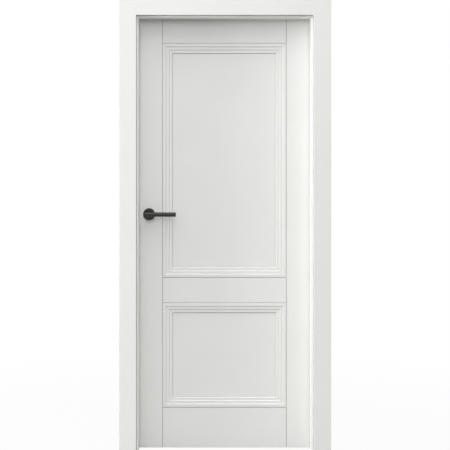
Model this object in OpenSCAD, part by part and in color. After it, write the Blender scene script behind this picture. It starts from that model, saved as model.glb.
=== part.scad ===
// Two-panel interior door with its frame, casings, lever set and mortise latch.
// X runs across the opening with the hinges at +X, Y runs away from the push side
// and Z runs up. The origin is on the floor, under the middle of the whole part.

/* [Opening] */
// Clear width between the side stops
clear_w = 800; // [640:10:1000]
// Clear height from the floor to the head stop
clear_h = 2017; // [1950:1:2300]
// Thickness of the wall that the lining covers
wall_t = 100; // [95:5:160]
// Thickness of the lining behind the rebate
lining_t = 25; // [24:1:35]

/* [Casings] */
// Width of a casing board
casing_w = 80; // [60:5:120]
// Thickness of a casing board
casing_t = 16; // [12:1:20]
// Step from the side stop out to the front casing's edge
casing_step = 10; // [4:1:12]
// Radius of a casing's visible arrises
casing_r = 1; // [1:0.5:4]
// Thickness of the tongue behind a casing
tongue_t = 5; // [4:0.5:6]
// Length of the tongue behind a casing
tongue_l = 6; // [4:1:8]
// Distance from a casing's inner edge to its tongue
tongue_inset = 8; // [6:1:9]
// Depth of the hollow behind a casing, over the joint between lining and wall
relief_d = 1.5; // [1:0.5:3]
// Width of the hollow behind a casing
relief_w = 12; // [8:1:20]
// How far the hollow behind a casing reaches over the lining
relief_lap = 3; // [1:0.5:5]
// Width of the open line in the lining beside a front casing
reveal_w = 1.25; // [0.5:0.25:2]
// Depth of that open line
reveal_d = 2; // [1:0.5:3]

/* [Seal] */
// Gap between the stop and the leaf that the seal fills
seal_gap = 3; // [2.5:0.5:5]
// Width of the seal's bulb
seal_w = 6; // [5:0.5:7]
// Distance from the stop's edge to the seal
seal_inset = 2; // [1:0.5:2]
// Thickness of the seal's foot
seal_foot_t = 2.4; // [2:0.2:3]
// Depth of the seal's foot in its kerf
seal_foot_l = 7; // [5:1:10]

/* [Leaf] */
// Thickness of the leaf
leaf_t = 40; // [38:1:45]
// Lap of the leaf over the stop
leaf_lap = 9; // [8:0.5:12]
// Gap between the leaf's edge and the rebate
leaf_gap = 3; // [2:0.5:4]
// Gap between the leaf and the floor
floor_gap = 7; // [5:1:20]
// Width of a stile
stile_w = 117.5; // [110:0.5:150]
// Height of the top rail
top_rail_h = 118; // [90:0.5:160]
// Height of the middle rail
middle_rail_h = 117; // [90:1:180]
// Height of the bottom rail
bottom_rail_h = 188; // [140:0.5:260]
// Height of the lower panel's opening
lower_panel_h = 493.5; // [400:0.5:640]
// Width of the line that stays open between two boards
joint_w = 1.5; // [0.5:0.25:2]
// Depth of that open line
joint_d = 3.5; // [2:0.5:5]
// Bevel on one side of that open line, and along the leaf's outer edges
bevel = 0.75; // [0.5:0.25:2]
// Depth that a panel enters the grooves of its boards
panel_tongue = 10; // [6:1:14]
// Diameter of a rail dowel
dowel_d = 10; // [8:1:12]
// Length of a rail dowel
dowel_l = 80; // [60:5:100]

/* [Moulding] */
// Number of steps down to the panel
steps = 3; // [2:1:3]
// Depth of one step
step_d = 3.5; // [2:0.25:3.75]
// Width of a step's slope
slope_w = 2.5; // [1.5:0.25:6]
// Width of the flat between two slopes
tread_w = 12.25; // [8:0.25:14]
// Width of the flat before the first slope
first_tread_w = 16.25; // [8:0.25:20]
// Height of the moulding's inner edge over the panel
lip = 1; // [0.5:0.25:1.5]

/* [Hinges] */
// Height of a hinge
hinge_h = 100; // [80:5:120]
// Thickness of a hinge plate
hinge_plate_t = 2.5; // [2:0.25:3]
// Width of a hinge plate's flat part
hinge_plate_w = 34; // [32:1:36]
// Diameter of the knuckles
knuckle_d = 13; // [11:0.5:15]
// Number of knuckles
knuckles = 5; // [3:2:5]
// Diameter of the hinge pin
pin_d = 7; // [6:0.5:8]
// Distance from the leaf's bottom to the low hinge's middle
hinge_low = 230; // [180:5:300]
// Distance from the leaf's top to the high hinge's middle
hinge_high = 200; // [150:5:300]
// Gap between the knuckles and the leaf's face
knuckle_gap = 0.5; // [0.3:0.1:1]

/* [Screws] */
// Shank diameter of the plate screws
screw_d = 4; // [3:0.5:4.5]
// Head diameter of the plate screws
screw_head_d = 8; // [7:0.5:9]
// Length of the plate screws
screw_l = 20; // [14:1:21]
// Length of the screws that join head and jambs
corner_screw_l = 70; // [60:5:90]
// Distance from the lining's edges to those screws
corner_inset = 30; // [20:1:35]
// Diameter of the holes for the wall anchors
anchor_d = 6.5; // [5:0.5:8]
// Diameter of the anchors' countersinks
anchor_head_d = 13; // [11:0.5:14]
// Distance from the floor and from the head stop to the outermost anchors
anchor_end = 110; // [80:5:115]

/* [Latch] */
// Distance from the leaf's edge to the spindle
backset = 55; // [50:1:60]
// Height of the spindle above the leaf's bottom
spindle_h = 1097; // [1000:1:1150]
// Width of the latch's forend
forend_w = 24; // [20:1:26]
// Height of the latch's forend
forend_h = 125; // [115:5:160]
// Thickness of forend and strike plate
forend_t = 3; // [2:0.5:4]
// Height of the latch case
case_h = 66; // [62:1:72]
// Thickness of the latch case
case_t = 14; // [13:0.5:16]
// Wall of the latch case
case_wall = 1.2; // [0.8:0.1:1.4]
// Distance from the spindle to the case's back end
case_tail = 23; // [23:1:30]
// Height of the bolt's middle above the spindle
bolt_rise = 18; // [18:0.25:18.5]
// Height of the bolt
bolt_h = 20; // [16:1:20]
// Throw of the bolt out of the forend
bolt_throw = 12; // [10:0.5:12]
// Diameter of the hub
hub_d = 22; // [18:1:22]
// Lean of the hub's arm towards the bolt at rest, in degrees
hub_lean = 20; // [18:1:22]
// Height of the strike plate
strike_h = 70; // [64:2:100]

/* [Lever] */
// Diameter of a rose
rose_d = 56; // [50:1:60]
// Height of a rose
rose_h = 8; // [6:0.5:10]
// Wall of a rose's cover
rose_wall = 1.5; // [1:0.25:2]
// Diameter of the lever's bar
bar_d = 21; // [16:0.5:24]
// Distance from the leaf to the bar's middle
bar_reach = 50; // [45:1:60]
// Length of the bar from the neck to its free end
bar_l = 126; // [100:1:150]
// Length of the bar behind the neck
bar_tail = 20; // [14:1:26]
// Distance from the neck to the seam between neck and grip
seam_x = 19.5; // [14:0.5:26]
// Diameter of the lever's neck
neck_d = 18; // [16:0.5:20]
// Side of the square spindle
spindle_s = 8; // [7:0.5:8]
// Distance between the rose's two bolts
rose_bolt_pitch = 38; // [38:0.5:39]
// Diameter of the rose's bolts
rose_bolt_d = 4; // [3:0.5:4]

/* [Fits] */
// Clearance around a screw, dowel or bolt in its hole, on each side
fit = 0.05; // [0.02:0.01:0.1]
// Clearance around flat pieces in their pockets, on each side
pocket = 0.1; // [0.05:0.05:0.2]
// Clearance between pieces that move past each other
running = 0.3; // [0.2:0.05:0.4]

/* [Hidden] */
$fn = 48;

// Places across the depth, from the front casing's face to the levers behind
depth = 2 * casing_t + wall_t + bar_reach + bar_d / 2;
front_y = -depth / 2;
lining_y0 = front_y + casing_t;
lining_y1 = lining_y0 + wall_t;
back_y = lining_y1 + casing_t;
leaf_y0 = back_y - leaf_t;
leaf_y1 = back_y;
leaf_yc = (leaf_y0 + leaf_y1) / 2;
stop_y1 = leaf_y0 - seal_gap;

// Places across the width, measured from the middle
stop_u = clear_w / 2;
leaf_u = stop_u + leaf_lap;
rebate_u = leaf_u + leaf_gap;
lining_u = rebate_u + lining_t;
front_casing_u = stop_u + casing_step;
back_casing_u = rebate_u;
groove_u = leaf_u - stile_w;

// Turns a distance from the middle into the height of the matching head piece
head_rise = clear_h - stop_u;

// Heights in the leaf
leaf_z0 = floor_gap;
leaf_z1 = clear_h + leaf_lap;
lower_z0 = leaf_z0 + bottom_rail_h;
lower_z1 = lower_z0 + lower_panel_h;
upper_z0 = lower_z1 + middle_rail_h;
upper_z1 = leaf_z1 - top_rail_h;

// Panels and mouldings
panel_recess = steps * step_d + lip;
panel_t = leaf_t - 2 * panel_recess;
groove_w = panel_t + 2 * pocket;
groove_d = panel_tongue + 1;
moulding_w = first_tread_w + steps * slope_w + (steps - 1) * tread_w;

// Hinges
hinge_x = leaf_u + leaf_gap / 2;
hinge_y = back_y + knuckle_gap + knuckle_d / 2;
hinge_z = [
    leaf_z0 + hinge_low,
    (leaf_z0 + hinge_low + leaf_z1 - hinge_high) / 2,
    leaf_z1 - hinge_high
];
knuckle_pitch = hinge_h / knuckles;
hinge_row_casing = 8;
hinge_row_lining = 27;
hinge_screw_end = 12;
hinge_screws = [
    [hinge_row_casing, hinge_h / 2 - hinge_screw_end],
    [hinge_row_lining, hinge_h / 5],
    [hinge_row_lining, -hinge_h / 5],
    [hinge_row_casing, hinge_screw_end - hinge_h / 2]
];

// Latch
spindle_x = -leaf_u + backset;
spindle_z = leaf_z0 + spindle_h;
case_x0 = -leaf_u + forend_t;
case_x1 = spindle_x + case_tail;
case_drop = 22;
case_zc = spindle_z - case_drop + case_h / 2;
bolt_z = spindle_z + bolt_rise;
bolt_t = case_t - 2 * case_wall - 2 * running;
forend_screw_end = 9;
forend_screw_z = forend_h / 2 - forend_screw_end;
hub_journal_d = 15;
nose_r = 3;
nose_reach = bolt_throw / (2 * sin(hub_lean));
arm_w = 4;
arm_t = 5;
lug_x0 = spindle_x - bolt_throw / 2 + nose_r + running;
lug_t = 4;
lug_z0 = spindle_z + nose_reach * cos(hub_lean) - nose_r / 2;
tail_gap = 1.7;
tail_h = 4;
tail_z0 = spindle_z + nose_reach + nose_r + tail_gap;
bolt_head_l = 14;
bolt_tip_t = 1.5;
guide_d = 4;
guide_l = 7;
guide_z = (lug_z0 + tail_z0) / 2;
spring_wire = 0.8;
spring_turns = 7;
spring_r = guide_d / 2 + running + spring_wire / 2;
spring_sides = 6;
spring_rings = 16;

// Strike
strike_y0 = back_y - hinge_plate_w;
strike_hole_gap = 0.6;
strike_box_wall = 1.2;
strike_box_l = bolt_throw - leaf_gap - forend_t + 8;
strike_screw_z = strike_h / 2 - 8;

// Rose and lever
rose_base_h = 5;
rose_edge = 1.4;
rose_bolt_head_d = 7;
rose_bolt_head_h = 2;
neck_gap = 0.5;
neck_socket_l = 30;
spindle_fit = 0.1;
grub_d = 5;
grub_y = 14;
bar_edge = 1.2;
seam_edge = 0.4;
spigot_d = 12;
spigot_l = 12;

// Anchors
anchor_y = (stop_y1 + lining_y1) / 2;
anchor_span = clear_h - 2 * anchor_end;
anchor_z = [for (i = [0 : 3]) anchor_end + anchor_span * i / 3];

// Helpers

// The same shape on the latch side
module latch_side() {
    mirror([1, 0, 0]) children();
}

// A board along the hinge side with its top cut at 45 degrees; the child is its plan
module mitred_side(inner_u, outer_u, bottom = 0) {
    inner_z = inner_u + head_rise;
    outer_z = outer_u + head_rise;
    intersection() {
        translate([0, 0, bottom]) linear_extrude(outer_z - bottom) children();
        translate([0, depth, 0]) rotate([90, 0, 0]) linear_extrude(2 * depth)
            polygon([
                [inner_u - 1, bottom - 1], [outer_u + 1, bottom - 1],
                [outer_u + 1, outer_z + 1], [inner_u - 1, inner_z - 1]
            ]);
    }
}

// The matching board across the head, cut at 45 degrees at both ends
module mitred_head(inner_u, outer_u) {
    inner_z = inner_u + head_rise;
    outer_z = outer_u + head_rise;
    intersection() {
        translate([outer_u, 0, head_rise]) rotate([0, -90, 0])
            linear_extrude(2 * outer_u) children();
        translate([0, depth, 0]) rotate([90, 0, 0]) linear_extrude(2 * depth)
            polygon([
                [1 - inner_u, inner_z - 1], [inner_u - 1, inner_z - 1],
                [outer_u + 1, outer_z + 1], [-outer_u - 1, outer_z + 1]
            ]);
    }
}

// A cylinder along +X from a point
module rod_x(r, l) {
    rotate([0, 90, 0]) cylinder(r = r, h = l);
}

// A cylinder along +Y from a point
module rod_y(r, l) {
    rotate([-90, 0, 0]) cylinder(r = r, h = l);
}

// A countersunk screw along -Z with its head's face at the origin; grow widens it for its hole
module flat_screw(l, grow = 0) {
    head_l = (screw_head_d - screw_d) / 2;
    translate([0, 0, -l - grow]) cylinder(d = screw_d + 2 * grow, h = l + grow);
    translate([0, 0, -head_l])
        cylinder(d1 = screw_d + 2 * grow, d2 = screw_head_d + 2 * grow, h = head_l + grow / 2);
}

// A cross slot that a driver fits, cut into a screw's face
module driver_cross() {
    for (turn = [0, 90])
        rotate(turn) translate([-screw_head_d / 4, -0.5, -1.5])
            cube([screw_head_d / 2, 1, 2]);
}

// A plate screw with its cross
module plate_screw(l) {
    difference() {
        flat_screw(l);
        driver_cross();
    }
}

// Frame

// Plan of the lining with its stop, rebate, seal kerf, open line and casing grooves
module lining_plan() {
    front_tongue_u = front_casing_u + tongue_inset;
    back_tongue_u = back_casing_u + tongue_inset;
    kerf_u = stop_u + seal_inset + (seal_w - seal_foot_t) / 2;
    difference() {
        union() {
            translate([stop_u, lining_y0]) square([lining_u - stop_u, stop_y1 - lining_y0]);
            translate([rebate_u, lining_y0]) square([lining_t, wall_t]);
        }
        translate([front_casing_u - reveal_w, lining_y0 - 1]) square([reveal_w, reveal_d + 1]);
        translate([front_tongue_u - pocket, lining_y0 - 1])
            square([tongue_t + 2 * pocket, tongue_l + 1.5]);
        translate([back_tongue_u - pocket, lining_y1 - tongue_l - 0.5])
            square([tongue_t + 2 * pocket, tongue_l + 1.5]);
        translate([kerf_u - pocket, stop_y1 - seal_foot_l - 0.5])
            square([seal_foot_t + 2 * pocket, seal_foot_l + 1.5]);
    }
}

// Holes and countersinks for the wall anchors in one jamb
module anchor_holes() {
    sink = (anchor_head_d - anchor_d) / 2;
    for (z = anchor_z)
        translate([rebate_u, anchor_y, z]) {
            translate([-1, 0, 0]) rod_x(anchor_d / 2, lining_t + 2);
            rotate([0, 90, 0]) translate([0, 0, -0.01])
                cylinder(d1 = anchor_head_d, d2 = anchor_d, h = sink);
        }
}

// Places of the screws that join head and jamb, on the hinge side
module corner_places() {
    for (y = [lining_y0 + corner_inset, lining_y1 - corner_inset])
        translate([rebate_u + lining_t / 2, y, lining_u + head_rise]) children();
}

module corner_holes() {
    corner_places() flat_screw(corner_screw_l, fit);
}

// Pockets for the hinges' frame plates and their screws
module hinge_frame_pockets() {
    for (z = hinge_z) {
        translate([rebate_u - 1, back_y - hinge_plate_w - pocket, z - hinge_h / 2 - pocket])
            cube([hinge_plate_t + 1, hinge_plate_w + 2, hinge_h + 2 * pocket]);
        frame_screw_places(z) flat_screw(screw_l, fit);
    }
}

// Places of one hinge's screws in the frame
module frame_screw_places(z) {
    for (p = hinge_screws)
        translate([rebate_u, back_y - p[0], z + p[1]]) rotate([0, -90, 0]) children();
}

// Places of one hinge's screws in the leaf
module leaf_screw_places(z) {
    for (p = hinge_screws)
        translate([leaf_u, back_y - p[0], z + p[1]]) rotate([0, 90, 0]) children();
}

// Pocket for the strike plate, its box and screws, on the latch side
module strike_pocket() {
    translate([-rebate_u - forend_t, strike_y0 - pocket, bolt_z - strike_h / 2 - pocket])
        cube([forend_t + 1, hinge_plate_w + 2, strike_h + 2 * pocket]);
    translate([-rebate_u - forend_t - strike_box_l - pocket, leaf_yc, bolt_z])
        strike_box_block(strike_box_l + 1, pocket);
    strike_screw_places() flat_screw(screw_l, fit);
}

// The strike box's outside as a block along +X
module strike_box_block(l, grow) {
    w = bolt_t + 2 * (strike_hole_gap + strike_box_wall + grow);
    h = bolt_h + 2 * (strike_hole_gap + strike_box_wall + grow);
    translate([0, -w / 2, -h / 2]) cube([l, w, h]);
}

module strike_screw_places() {
    for (z = [-strike_screw_z, strike_screw_z])
        translate([-rebate_u, back_y - hinge_row_lining, bolt_z + z])
            rotate([0, 90, 0]) children();
}

module jamb_latch() {
    color("white") difference() {
        latch_side() mitred_side(stop_u, lining_u) lining_plan();
        latch_side() anchor_holes();
        latch_side() corner_holes();
        strike_pocket();
    }
}

module jamb_hinge() {
    color("white") difference() {
        mitred_side(stop_u, lining_u) lining_plan();
        anchor_holes();
        corner_holes();
        hinge_frame_pockets();
    }
}

module head_jamb() {
    color("white") difference() {
        mitred_head(stop_u, lining_u) lining_plan();
        corner_holes();
        latch_side() corner_holes();
    }
}

module corner_screws() {
    color("silver") {
        corner_places() plate_screw(corner_screw_l);
        latch_side() corner_places() plate_screw(corner_screw_l);
    }
}

// Section of a casing with its back at y = 0, its face at y = casing_t and its tongue behind
module casing_section(inner_u) {
    difference() {
        translate([inner_u, 0]) {
            square([casing_w, casing_t - casing_r]);
            translate([casing_r, 0]) square([casing_w - 2 * casing_r, casing_t]);
            for (u = [casing_r, casing_w - casing_r])
                translate([u, casing_t - casing_r]) circle(casing_r);
            translate([tongue_inset, -tongue_l]) square([tongue_t, tongue_l + 1]);
        }
        translate([lining_u - relief_lap, -1]) square([relief_w, relief_d + 1]);
    }
}

module front_casing_plan() {
    translate([0, lining_y0]) mirror([0, 1]) casing_section(front_casing_u);
}

module back_casing_plan() {
    translate([0, lining_y1]) casing_section(back_casing_u);
}

module casing_front_hinge() {
    color("whitesmoke") mitred_side(front_casing_u, front_casing_u + casing_w)
        front_casing_plan();
}

module casing_front_latch() {
    latch_side() casing_front_hinge();
}

module casing_front_head() {
    color("whitesmoke") mitred_head(front_casing_u, front_casing_u + casing_w)
        front_casing_plan();
}

module casing_back_hinge() {
    color("whitesmoke") difference() {
        mitred_side(back_casing_u, back_casing_u + casing_w) back_casing_plan();
        hinge_frame_pockets();
    }
}

module casing_back_latch() {
    color("whitesmoke") difference() {
        latch_side() mitred_side(back_casing_u, back_casing_u + casing_w) back_casing_plan();
        strike_pocket();
    }
}

module casing_back_head() {
    color("whitesmoke") mitred_head(back_casing_u, back_casing_u + casing_w)
        back_casing_plan();
}

// Plan of the seal: a foot in the kerf and a bulb between stop and leaf
module seal_plan() {
    bulb = seal_gap - running;
    bulb_r = bulb / 3;
    seal_u = stop_u + seal_inset;
    translate([seal_u, stop_y1]) {
        square([seal_w, bulb - bulb_r]);
        translate([bulb_r, 0]) square([seal_w - 2 * bulb_r, bulb]);
        for (u = [bulb_r, seal_w - bulb_r])
            translate([u, bulb - bulb_r]) circle(bulb_r);
        translate([(seal_w - seal_foot_t) / 2, -seal_foot_l])
            square([seal_foot_t, seal_foot_l + bulb / 3]);
    }
}

module seal_hinge() {
    color("gray") mitred_side(stop_u + seal_inset, stop_u + seal_inset + seal_w) seal_plan();
}

module seal_latch() {
    latch_side() seal_hinge();
}

module seal_head() {
    color("gray") mitred_head(stop_u + seal_inset, stop_u + seal_inset + seal_w) seal_plan();
}

module strike_plate() {
    hole_w = bolt_t + 2 * strike_hole_gap;
    hole_h = bolt_h + 2 * strike_hole_gap;
    color("silver") difference() {
        translate([-rebate_u - forend_t, strike_y0, bolt_z - strike_h / 2])
            cube([forend_t, hinge_plate_w, strike_h]);
        translate([-rebate_u - forend_t - 1, leaf_yc - hole_w / 2, bolt_z - hole_h / 2])
            cube([forend_t + 2, hole_w, hole_h]);
        strike_screw_places() flat_screw(screw_l, fit);
    }
}

module strike_box() {
    color("dimgray") translate([-rebate_u - forend_t - strike_box_l, leaf_yc, bolt_z])
        difference() {
            strike_box_block(strike_box_l, 0);
            translate([strike_box_wall, 0, 0])
                strike_box_block(strike_box_l, -strike_box_wall);
        }
}

module strike_screws() {
    color("silver") strike_screw_places() plate_screw(screw_l);
}

// Hinges

// One of a hinge's knuckles, counted from the bottom; the bore is cut by the caller
module knuckle(i) {
    translate([hinge_x, hinge_y, i * knuckle_pitch - hinge_h / 2 + running / 2])
        cylinder(d = knuckle_d, h = knuckle_pitch - running);
}

// The knuckles with even or odd numbers and the webs that join them to a plate at u
module knuckle_row(first, u) {
    difference() {
        for (i = [first : 2 : knuckles - 1]) {
            knuckle(i);
            translate([u, back_y - 1, i * knuckle_pitch - hinge_h / 2 + running / 2])
                cube([hinge_plate_t, hinge_y - back_y + 1, knuckle_pitch - running]);
        }
        translate([hinge_x, hinge_y, -hinge_h])
            cylinder(d = pin_d + 2 * fit, h = 2 * hinge_h);
    }
}

module hinge_plate_flat(u) {
    translate([u, back_y - hinge_plate_w, -hinge_h / 2])
        cube([hinge_plate_t, hinge_plate_w, hinge_h]);
}

module hinge_frame_plate(z) {
    color("silver") difference() {
        translate([0, 0, z]) {
            hinge_plate_flat(rebate_u);
            knuckle_row(0, rebate_u);
        }
        frame_screw_places(z) flat_screw(screw_l, fit);
    }
}

module hinge_leaf_plate(z) {
    color("silver") difference() {
        translate([0, 0, z]) {
            hinge_plate_flat(leaf_u - hinge_plate_t);
            knuckle_row(1, leaf_u - hinge_plate_t);
        }
        leaf_screw_places(z) flat_screw(screw_l, fit);
    }
}

// A pin with a button at each end, just clear of the outer knuckles
module hinge_pin(z) {
    button_h = 3;
    reach = hinge_h / 2 - running / 2;
    color("silver") translate([hinge_x, hinge_y, z]) {
        translate([0, 0, -reach]) cylinder(d = pin_d, h = 2 * reach);
        for (up = [0, 1])
            mirror([0, 0, up]) translate([0, 0, reach])
                cylinder(d1 = knuckle_d - 1, d2 = pin_d, h = button_h);
    }
}

module hinge_frame_screws() {
    color("silver") for (z = hinge_z) frame_screw_places(z) plate_screw(screw_l);
}

module hinge_leaf_screws() {
    color("silver") for (z = hinge_z) leaf_screw_places(z) plate_screw(screw_l);
}

// Leaf

// A flat diamond that bevels a board's corner
module bevel_cut(a, b) {
    translate([a, b]) rotate(45) square(bevel * sqrt(2), center = true);
}

// Plan of the hinge stile, grooved for panels and rails, with bevelled outer edges
module stile_plan() {
    difference() {
        translate([groove_u, leaf_y0]) square([stile_w, leaf_t]);
        for (y = [leaf_y0, leaf_y1]) bevel_cut(leaf_u, y);
        translate([groove_u - 1, leaf_yc - groove_w / 2]) square([groove_d + 1, groove_w]);
    }
}

module stile() {
    translate([0, 0, leaf_z0]) linear_extrude(leaf_z1 - leaf_z0) stile_plan();
}

module stile_hinge() {
    color("white") difference() {
        stile();
        for (z = hinge_z) {
            translate([leaf_u - hinge_plate_t, back_y - hinge_plate_w - pocket,
                       z - hinge_h / 2 - pocket])
                cube([hinge_plate_t + 1, hinge_plate_w + 2, hinge_h + 2 * pocket]);
            leaf_screw_places(z) flat_screw(screw_l, fit);
        }
        dowel_holes();
    }
}

module stile_latch() {
    mortise_w = case_t + 2 * pocket;
    mortise_h = case_h + 2 * pocket;
    color("white") difference() {
        latch_side() stile();
        translate([-leaf_u - 1, leaf_yc - forend_w / 2 - pocket,
                   case_zc - forend_h / 2 - pocket])
            cube([forend_t + 1, forend_w + 2 * pocket, forend_h + 2 * pocket]);
        translate([-leaf_u, leaf_yc - mortise_w / 2, case_zc - mortise_h / 2])
            cube([case_x1 + leaf_u + pocket, mortise_w, mortise_h]);
        translate([spindle_x, leaf_y0 - 1, spindle_z]) rod_y(neck_d / 2 + 1, leaf_t + 2);
        rose_bolt_places() translate([0, -1, 0]) rod_y(rose_bolt_d / 2 + fit, leaf_t + 2);
        forend_screw_places() flat_screw(screw_l, fit);
        dowel_holes();
    }
}

// A rail between the stiles, with stub tenons, grooves and the open lines at its ends
module rail(z0, z1, groove_below, groove_above) {
    l = 2 * groove_u;
    difference() {
        union() {
            intersection() {
                translate([-groove_u, 0, 0]) rotate([90, 0, 90]) linear_extrude(l)
                    rail_section(z0, z1, groove_below, groove_above);
                translate([0, 0, z0]) linear_extrude(z1 - z0) rail_plan();
            }
            translate([-groove_u - panel_tongue, leaf_yc - panel_t / 2,
                       z0 + (groove_below ? groove_d : 0)])
                cube([l + 2 * panel_tongue, panel_t,
                      z1 - z0 - (groove_below ? groove_d : 0) - (groove_above ? groove_d : 0)]);
        }
        dowel_holes();
    }
}

// Section of a rail across its length, as depth and height
module rail_section(z0, z1, groove_below, groove_above) {
    difference() {
        translate([leaf_y0, z0]) square([leaf_t, z1 - z0]);
        if (groove_below)
            translate([leaf_yc - groove_w / 2, z0 - 1]) square([groove_w, groove_d + 1]);
        if (groove_above)
            translate([leaf_yc - groove_w / 2, z1 - groove_d]) square([groove_w, groove_d + 1]);
    }
}

// Plan of a rail, for the open lines at its ends
module rail_plan() {
    face_u = groove_u - joint_w;
    difference() {
        translate([-groove_u, leaf_y0]) square([2 * groove_u, leaf_t]);
        for (side = [-1, 1], y = [leaf_y0, leaf_y1]) {
            bevel_cut(side * face_u, y);
            translate([side * groove_u, y])
                square([2 * joint_w, 2 * joint_d], center = true);
        }
    }
}

module rail_bottom() {
    color("white") rail(leaf_z0, lower_z0, false, true);
}

module rail_middle() {
    color("white") rail(lower_z1, upper_z0, true, true);
}

module rail_top() {
    color("white") rail(upper_z1, leaf_z1, true, false);
}

// Places of the dowels, two at each rail's end
module dowel_places() {
    for (span = [[leaf_z0, lower_z0], [lower_z1, upper_z0], [upper_z1, leaf_z1]])
        for (share = [0.3, 0.7])
            for (side = [-1, 1])
                translate([side * groove_u - dowel_l / 2, leaf_yc,
                           span[0] + (span[1] - span[0]) * share])
                    children();
}

module dowel_holes() {
    dowel_places() translate([-1, 0, 0]) rod_x(dowel_d / 2 + fit, dowel_l + 2);
}

module rail_dowels() {
    color("burlywood") dowel_places() rod_x(dowel_d / 2, dowel_l);
}

module panel(z0, z1) {
    translate([-groove_u - panel_tongue, leaf_yc - panel_t / 2, z0 - panel_tongue])
        cube([2 * (groove_u + panel_tongue), panel_t, z1 - z0 + 2 * panel_tongue]);
}

module panel_upper() {
    color("white") panel(upper_z0, upper_z1);
}

module panel_lower() {
    color("white") panel(lower_z0, lower_z1);
}

// Section of a moulding strip: x inward from the board's edge, y down from the leaf's face
module moulding_section() {
    run = slope_w + tread_w;
    polygon([
        [pocket, joint_d], [joint_w, joint_d], [joint_w, bevel], [joint_w + bevel, 0],
        for (i = [0 : steps - 1]) each [
            [first_tread_w + i * run, i * step_d],
            [first_tread_w + i * run + slope_w, (i + 1) * step_d]
        ],
        [moulding_w, panel_recess], [pocket, panel_recess]
    ]);
}

// One strip along X with its outer edge at z = 0, mitred at both ends
module moulding_strip(half_l) {
    cut = half_l - pocket;
    intersection() {
        translate([half_l, 0, 0]) rotate([0, -90, 0]) linear_extrude(2 * half_l)
            moulding_section();
        translate([0, panel_recess + 1, 0]) rotate([90, 0, 0])
            linear_extrude(panel_recess + 2)
                polygon([
                    [-cut - 1, -1], [cut + 1, -1],
                    [cut - moulding_w - 1, moulding_w + 1], [moulding_w + 1 - cut, moulding_w + 1]
                ]);
    }
}

// Four strips around an opening, their face on the leaf's front
module moulding_frame(z0, z1) {
    half_h = (z1 - z0) / 2;
    translate([0, leaf_y0, (z0 + z1) / 2])
        for (turn = [0 : 3]) {
            across = turn % 2 == 0;
            rotate([0, 90 * turn, 0])
                translate([0, 0, across ? -half_h : -groove_u])
                    moulding_strip(across ? groove_u : half_h);
        }
}

// The same shape on the leaf's other face
module back_face() {
    translate([0, 2 * leaf_yc, 0]) mirror([0, 1, 0]) children();
}

module moulding_upper_front() {
    color("white") moulding_frame(upper_z0, upper_z1);
}

module moulding_upper_back() {
    back_face() moulding_upper_front();
}

module moulding_lower_front() {
    color("white") moulding_frame(lower_z0, lower_z1);
}

module moulding_lower_back() {
    back_face() moulding_lower_front();
}

// Latch

module forend_screw_places() {
    for (z = [-forend_screw_z, forend_screw_z])
        translate([-leaf_u, leaf_yc, case_zc + z]) rotate([0, -90, 0]) children();
}

module latch_forend() {
    hole_w = bolt_t + 2 * running;
    hole_h = bolt_h + 2 * running;
    color("silver") difference() {
        translate([-leaf_u, leaf_yc - forend_w / 2, case_zc - forend_h / 2])
            cube([forend_t, forend_w, forend_h]);
        translate([-leaf_u - 1, leaf_yc - hole_w / 2, bolt_z - hole_h / 2])
            cube([forend_t + 2, hole_w, hole_h]);
        forend_screw_places() flat_screw(screw_l, fit);
    }
}

module forend_screws() {
    color("silver") forend_screw_places() plate_screw(screw_l);
}

// Holes through both walls of the case for the hub and the rose's bolts
module case_holes() {
    translate([spindle_x, leaf_yc - case_t, spindle_z])
        rod_y(hub_journal_d / 2 + 2 * fit, 2 * case_t);
    rose_bolt_places() translate([0, -1, 0]) rod_y(rose_bolt_d / 2 + fit, leaf_t + 2);
}

// A tray, closed behind by the cover and at the bolt's end by the forend
module latch_case() {
    l = case_x1 - case_x0;
    color("lightsteelblue") difference() {
        translate([case_x0, leaf_yc - case_t / 2, case_zc - case_h / 2])
            cube([l, case_t - case_wall, case_h]);
        translate([case_x0 - 1, leaf_yc - case_t / 2 + case_wall,
                   case_zc - case_h / 2 + case_wall])
            cube([l + 1 - case_wall, case_t, case_h - 2 * case_wall]);
        case_holes();
    }
}

module latch_cover() {
    color("lightsteelblue") difference() {
        translate([case_x0, leaf_yc + case_t / 2 - case_wall, case_zc - case_h / 2])
            cube([case_x1 - case_x0, case_wall, case_h]);
        case_holes();
    }
}

// Hub with journals in the case, a square hole and an arm with a round nose
module latch_hub() {
    body_t = case_t - 2 * case_wall - 2 * running;
    color("steelblue") translate([spindle_x, leaf_yc, spindle_z]) difference() {
        union() {
            translate([0, -body_t / 2, 0]) rod_y(hub_d / 2, body_t);
            translate([0, -case_t / 2, 0]) rod_y(hub_journal_d / 2, case_t);
            rotate([0, -hub_lean, 0]) {
                translate([-arm_w / 2, -arm_t / 2, 0]) cube([arm_w, arm_t, nose_reach]);
                translate([0, -arm_t / 2, nose_reach]) rod_y(nose_r, arm_t);
            }
        }
        translate([-spindle_s / 2 - spindle_fit, -case_t, -spindle_s / 2 - spindle_fit])
            cube([spindle_s + 2 * spindle_fit, 2 * case_t, spindle_s + 2 * spindle_fit]);
    }
}

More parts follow.
